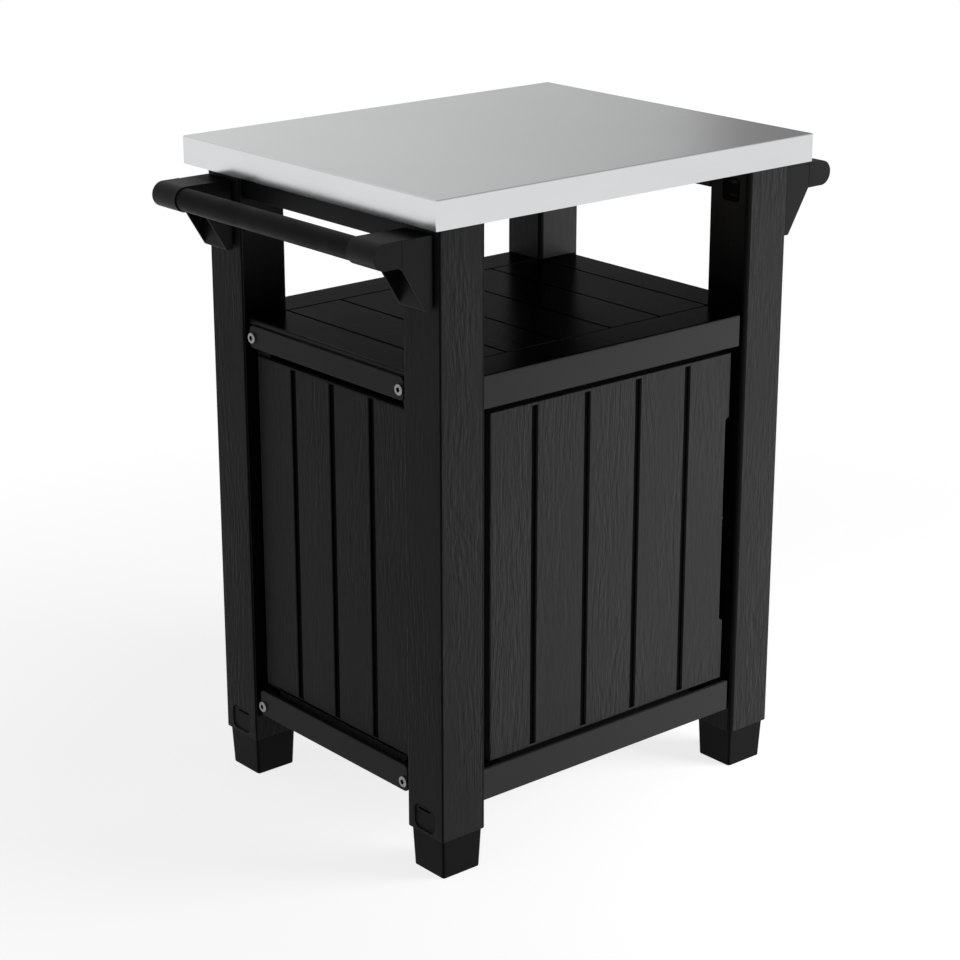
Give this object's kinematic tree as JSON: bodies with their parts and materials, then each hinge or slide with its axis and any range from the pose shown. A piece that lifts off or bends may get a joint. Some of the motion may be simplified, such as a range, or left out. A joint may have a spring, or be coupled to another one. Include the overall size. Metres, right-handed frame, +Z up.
{
  "type": "grill cart with storage",
  "caption": "Free-standing outdoor cart with a steel worktop, an open shelf, a cupboard with a swinging door and a handle bar on each side.",
  "frame": {"origin": "centre of the footprint on the floor, under the middle of the worktop", "axes": "+Z up, +X to the right of someone facing the door, the door faces -Y"},
  "size_m": [0.7846, 0.5274, 0.902],
  "materials": {
    "worktop_steel": "fine brushed stainless steel sheet",
    "board": "raw pressed board, hidden under the steel",
    "grained_resin": "near-black moulded resin with a fine embossed wood grain along each plank",
    "shelf_resin": "near-black moulded resin with a faint sheen",
    "smooth_resin": "near-black moulded resin, smooth and satin",
    "bar_enamel": "satin black coated tube",
    "screw_steel": "dull zinc",
    "pin_steel": "blackened steel"
  },
  "bodies": {
    "cart": {"back_panel": "grained_resin", "beam_screws": "screw_steel", "board_screws": "screw_steel", "bracket_bolts": "screw_steel", "catch_magnet": "smooth_resin", "floor_tray": "grained_resin", "foot_front_left": "smooth_resin", "foot_front_right": "smooth_resin", "foot_rear_left": "smooth_resin", "foot_rear_right": "smooth_resin", "handle_bar_left": "bar_enamel", "handle_bar_right": "bar_enamel", "handle_bracket_front_left": "smooth_resin", "handle_bracket_front_right": "smooth_resin", "handle_bracket_rear_left": "smooth_resin", "handle_bracket_rear_right": "smooth_resin", "handle_end_front_left": "smooth_resin", "handle_end_front_right": "smooth_resin", "handle_end_rear_left": "smooth_resin", "handle_end_rear_right": "smooth_resin", "inner_shelf": "smooth_resin", "leg_front_left": "grained_resin", "leg_front_right": "grained_resin", "leg_rear_left": "grained_resin", "leg_rear_right": "grained_resin", "lower_side_rail_left": "grained_resin", "lower_side_rail_right": "grained_resin", "rail_screws": "screw_steel", "shelf_deck": "shelf_resin", "shelf_ledges": "smooth_resin", "side_panel_left": "grained_resin", "side_panel_right": "grained_resin", "steel_top": "worktop_steel", "top_beam_left": "grained_resin", "top_beam_right": "grained_resin", "top_board": "board", "top_corner_block_front_left": "smooth_resin", "top_corner_block_front_right": "smooth_resin", "top_corner_block_rear_left": "smooth_resin", "top_corner_block_rear_right": "smooth_resin", "upper_side_rail_left": "grained_resin", "upper_side_rail_right": "grained_resin"},
    "door": {"door_panel": "grained_resin", "door_liner": "grained_resin", "hinge_pin_upper": "pin_steel", "hinge_pin_lower": "pin_steel", "catch_stud": "screw_steel", "door_liner_screws": "screw_steel"}
  },
  "joints": [
    {"name": "door_swing", "type": "hinge", "parent": "cart", "child": "door", "pos_m": [-0.2, -0.215, 0.375], "axis": [0, 0, -1], "range_deg": [0, 110]}
  ]
}
